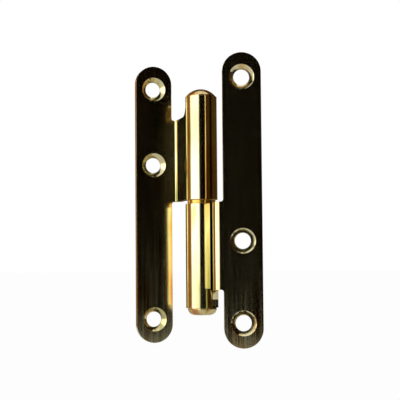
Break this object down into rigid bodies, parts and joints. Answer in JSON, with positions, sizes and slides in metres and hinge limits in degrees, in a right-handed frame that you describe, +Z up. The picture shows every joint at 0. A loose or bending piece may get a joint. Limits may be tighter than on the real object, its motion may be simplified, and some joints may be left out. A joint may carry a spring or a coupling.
{
  "type": "lift off hinge",
  "caption": "Cranked lift-off hinge: round-ended sheet leaves with rolled barrels, the upper one turning on a fixed pin over a bearing ring.",
  "frame": {"origin": "on the pin's axis, half-way up the leaves", "axes": "+Z up the pin, +X along the lower leaf away from the pin, +Y towards the surface behind the lower leaf"},
  "size_m": [0.0486, 0.0318, 0.11],
  "materials": {
    "leaf_steel": "zinc plated sheet steel with yellow chromate passivation",
    "pin_steel": "turned steel with the same yellow passivation",
    "ring_brass": "turned brass"
  },
  "bodies": {
    "lower_half": {"lower_leaf": "leaf_steel", "hinge_pin": "pin_steel"},
    "ring": {"bearing_ring": "ring_brass"},
    "upper_half": {"upper_leaf": "leaf_steel", "barrel_cap": "pin_steel"}
  },
  "joints": [
    {"name": "swing", "type": "hinge", "parent": "lower_half", "child": "ring", "pos_m": [0, 0, 0], "axis": [0, 0, 1], "range_deg": [-178, 146]},
    {"name": "lift", "type": "slide", "parent": "ring", "child": "upper_half", "axis": [0, 0, 1], "range_m": [0, 0.034]}
  ]
}
